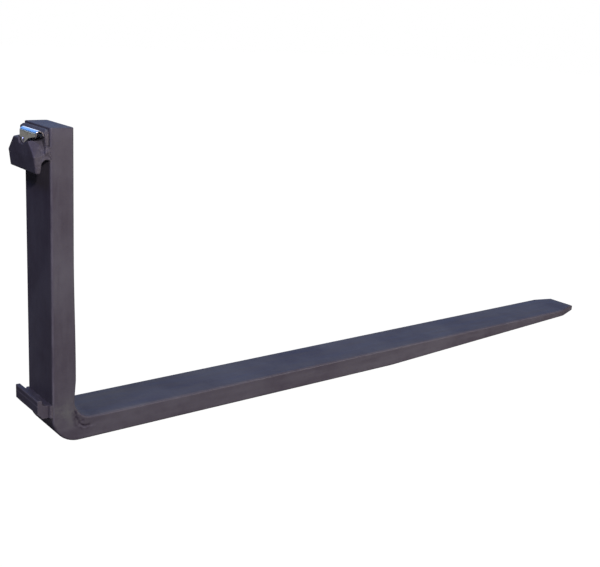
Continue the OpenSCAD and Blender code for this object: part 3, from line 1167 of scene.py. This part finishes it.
@dataclass
class Studio:
    """Camera, lamps, backdrop and floor.

    Attributes:
        surround: Colours of the surround by the sine of the height above the horizon.
        hook_side: X of a direction between which the hooks' side changes to the blade's.
        floor_clear: Share of the camera's view of the floor that is white glow.
        lamps: Name, place, aim, sides, watts and colour of each lamp.
        cards: Name, place from the latch, sides, watts and colour of each card.
    """

    eye: tuple = (-0.6274, -1.4538, 0.4524)
    yaw: float = 39.066
    pitch: float = 15.783
    roll: float = -3.583
    lens: float = 58.0
    surround: tuple = (
        (-0.20, (0.30, 0.27, 0.25)),
        (0.02, (0.45, 0.40, 0.36)),
        (0.08, (0.95, 0.97, 1.00)),
        (0.16, (0.20, 0.42, 1.00)),
        (0.46, (0.16, 0.34, 0.95)),
        (0.60, (0.55, 0.62, 0.80)),
        (1.00, (0.60, 0.65, 0.80)),
    )
    gloss_level: float = 0.62
    soft_level: float = 0.07
    hook_side_level: float = 0.15
    hook_side: tuple = (-0.36, 0.05)
    floor_colour: tuple = (0.15, 0.147, 0.142)
    floor_size: float = 24.0
    floor_middle: float = 0.7
    floor_gap: float = 0.0002
    floor_glow: float = 1.10
    floor_clear: float = 0.93
    latch: tuple = (-0.0165, -0.02, 0.235)
    lamps: tuple = (
        ("key", (-1.58, -5.22, 2.66), (0.3, 0.0, -0.05), (0.3, 0.3), 300.0, (0.82, 0.71, 0.82)),
        ("sky_panel", (-1.9, -0.6, 2.6), (0.0, 0.0, 0.1), (0.8, 0.8), 26.0, (0.40, 0.42, 1.0)),
        ("top_panel", (0.9, 0.5, 2.4), (0.4, 0.0, 0.0), (2.0, 1.4), 22.0, (0.78, 0.90, 1.0)),
        ("near_panel", (2.0, -2.2, 0.3), (1.0, 0.0, -0.2), (1.8, 1.0), 34.0, (1.0, 0.87, 0.84)),
    )
    cards: tuple = (
        ("flank_card", (-0.60, 1.36, -0.26), (0.60, 0.50), 0.19, (1.0, 0.95, 0.82)),
        ("fold_card", (-0.60, 1.38, 0.22), (0.30, 0.10), 0.10, (0.85, 0.95, 1.0)),
        ("crown_card", (-0.05, 1.38, 0.52), (0.80, 0.40), 0.88, (0.20, 0.46, 1.0)),
        ("crest_card", (0.52, 1.36, 0.34), (0.40, 0.52), 0.55, (0.92, 0.97, 1.0)),
    )

    def camera(self) -> None:
        """Places the camera as the photograph's lines say."""
        yaw, pitch, roll = (math.radians(a) for a in (self.yaw, self.pitch, self.roll))
        ahead = Vector(
            (math.sin(yaw) * math.cos(pitch), math.cos(yaw) * math.cos(pitch), -math.sin(pitch))
        )
        level = Vector((math.cos(yaw), -math.sin(yaw), 0.0))
        down = ahead.cross(level)
        right = math.cos(roll) * level + math.sin(roll) * down
        below = -math.sin(roll) * level + math.cos(roll) * down
        data = bpy.data.cameras.new("photo_camera")
        data.lens = self.lens
        data.sensor_width = 36.0
        data.clip_end = 60.0
        camera = bpy.data.objects.new("photo_camera", data)
        turn = Matrix((right, -below, -ahead)).transposed().to_4x4()
        camera.matrix_world = Matrix.Translation(self.eye) @ turn
        bpy.context.scene.collection.objects.link(camera)
        bpy.context.scene.camera = camera

    def lamp(
        self,
        name: str,
        place: tuple,
        aim: tuple,
        size: tuple,
        watts: float,
        tint: tuple,
        only: Optional[bpy.types.Collection] = None,
    ) -> None:
        """Adds a rectangular lamp.

        Args:
            name: Its name.
            place: Where it stands.
            aim: The point that it faces.
            size: Its two sides.
            watts: Its power.
            tint: Its colour.
            only: The pieces that it lights, or none for all.
        """
        data = bpy.data.lights.new(name, "AREA")
        data.shape = "RECTANGLE"
        data.size, data.size_y = size
        data.energy = watts
        data.color = tint
        lamp = bpy.data.objects.new(name, data)
        lamp.location = place
        if only is not None:
            lamp.light_linking.receiver_collection = only
        lamp.rotation_euler = (Vector(aim) - Vector(place)).to_track_quat("-Z", "Y").to_euler()
        bpy.context.scene.collection.objects.link(lamp)

    def world(self) -> None:
        """Makes the surround, dim on matt paint, bright in gloss and white to the camera."""
        world = bpy.data.worlds.new("surround")
        bpy.context.scene.world = world
        world.use_nodes = True
        tree = world.node_tree
        tree.nodes.clear()
        new, link = tree.nodes.new, tree.links.new
        out = new("ShaderNodeOutputWorld")
        place = new("ShaderNodeTexCoord")
        split = new("ShaderNodeSeparateXYZ")
        band = new("ShaderNodeValToRGB")
        stops = tuple((0.5 + height / 2, colour) for height, colour in self.surround)
        fill_band(band.color_ramp, stops)
        rise = new("ShaderNodeMapRange")
        rise.inputs["From Min"].default_value = -1.0
        soft = new("ShaderNodeBackground")
        soft.inputs["Strength"].default_value = self.soft_level
        mirrored = new("ShaderNodeBackground")
        mirrored.inputs["Strength"].default_value = self.gloss_level
        white = new("ShaderNodeBackground")
        white.inputs["Color"].default_value = WHITE
        path = new("ShaderNodeLightPath")
        clear = new("ShaderNodeMath")
        clear.operation = "MAXIMUM"
        gloss = new("ShaderNodeMixShader")
        seen = new("ShaderNodeMixShader")
        link(place.outputs["Generated"], split.inputs[0])
        link(split.outputs["Z"], rise.inputs["Value"])
        link(rise.outputs["Result"], band.inputs["Fac"])
        shade = new("ShaderNodeMapRange")
        shade.inputs["From Min"].default_value = self.hook_side[0]
        shade.inputs["From Max"].default_value = self.hook_side[1]
        shade.inputs["To Min"].default_value = self.hook_side_level
        tint = new("ShaderNodeMix")
        tint.data_type = "RGBA"
        tint.blend_type = "MULTIPLY"
        tint.inputs[0].default_value = 1.0
        link(split.outputs["X"], shade.inputs["Value"])
        link(band.outputs["Color"], tint.inputs[6])
        link(shade.outputs["Result"], tint.inputs[7])
        link(tint.outputs[2], soft.inputs["Color"])
        link(tint.outputs[2], mirrored.inputs["Color"])
        link(path.outputs["Is Glossy Ray"], gloss.inputs[0])
        link(soft.outputs[0], gloss.inputs[1])
        link(mirrored.outputs[0], gloss.inputs[2])
        link(path.outputs["Is Camera Ray"], clear.inputs[0])
        link(path.outputs["Is Transmission Ray"], clear.inputs[1])
        link(clear.outputs[0], seen.inputs[0])
        link(gloss.outputs[0], seen.inputs[1])
        link(white.outputs[0], seen.inputs[2])
        link(seen.outputs[0], out.inputs["Surface"])

    def floor(self) -> None:
        """Lays a floor that throws light back on the arm and is white to the camera."""
        leave_edit_mode()
        place = (self.floor_middle, 0, -DATUM - self.floor_gap)
        bpy.ops.mesh.primitive_plane_add(size=self.floor_size, location=place)
        floor = bpy.context.object
        floor.name = "floor"
        settle(floor)
        n = Nodes("pale_floor")
        n.shader.inputs["Base Color"].default_value = (*self.floor_colour, 1.0)
        n.shader.inputs["Roughness"].default_value = 0.9
        n.shader.inputs["Specular IOR Level"].default_value = 0.1
        glow = n.add("Emission", Color=WHITE, Strength=self.floor_glow)
        path = n.add("LightPath")
        mix = n.add("MixShader")
        weight = n.math("MULTIPLY", path.outputs["Is Camera Ray"], self.floor_clear)
        n.link(weight, mix.inputs[0])
        n.link(n.shader.outputs[0], mix.inputs[1])
        n.link(glow.outputs[0], mix.inputs[2])
        n.link(mix.outputs[0], n.output.inputs["Surface"])
        dress(floor, n.material)

    def build(self) -> None:
        """Sets up the whole studio."""
        bpy.context.scene.view_settings.view_transform = "Standard"
        self.camera()
        self.world()
        self.floor()
        for values in self.lamps:
            self.lamp(*values)

    def light_latch(self, bright: list) -> None:
        """Sets up the cards that the plated pieces alone mirror.

        Args:
            bright: The plated pieces.
        """
        only = bpy.data.collections.new("plated_pieces")
        for piece in bright:
            only.objects.link(piece)
        for name, away, size, watts, tint in self.cards:
            place = tuple(t + a for t, a in zip(self.latch, away))
            self.lamp(name, place, self.latch, size, watts, tint, only)


def main() -> None:
    """Builds every piece in order."""
    logging.basicConfig(level=logging.INFO, format="%(message)s")
    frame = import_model()
    nodes = frame["nodes"]

    studio = Studio()
    studio.build()
    bar_paint = BarPaint("bar_paint").build()
    hook_paint = DarkPaint("hook_paint", base=(0.080, 0.078, 0.088), edge_wear_and_highlight=1.0).build()
    hook_bar_paint = DarkPaint(
        "hook_bar_paint",
        base=(0.070, 0.067, 0.078),
        # painted highlight lines along the edges of the back face
        highlight_lines=((61.5, 1.2), (83.4, 1.8), (75.0, 1.6)),
    ).build()
    weld_paint = DarkPaint("weld_paint", base=(0.095, 0.092, 0.098), edge_wear_and_highlight=0.8).build()
    plated = Plating("bright_plating").build()
    turned = TurnedSteel("turned_steel").build()

    pieces = [
        ForgedBar().build(bar_paint),
        TopHookForging().build(nodes, hook_paint),
        LowerHookBar().build(hook_bar_paint),
    ]
    for node, run in (
        ("lower_hook_weld_near", (0.0, 0.3, 1.0)),
        ("lower_hook_weld_far", (0.0, -0.3, 1.0)),
        ("lower_hook_weld_under", (0.0, 1.0, 0.0)),
    ):
        pieces.append(WeldBead(node, run).build(nodes, weld_paint))
    for piece in pieces:
        LOG.info("%s: %d faces", piece.name, len(piece.data.polygons))
    lever = Latch().build(nodes, plated, turned)
    studio.light_latch([lever, nodes["lever_rivet"]])


if __name__ == "__main__":
    main()
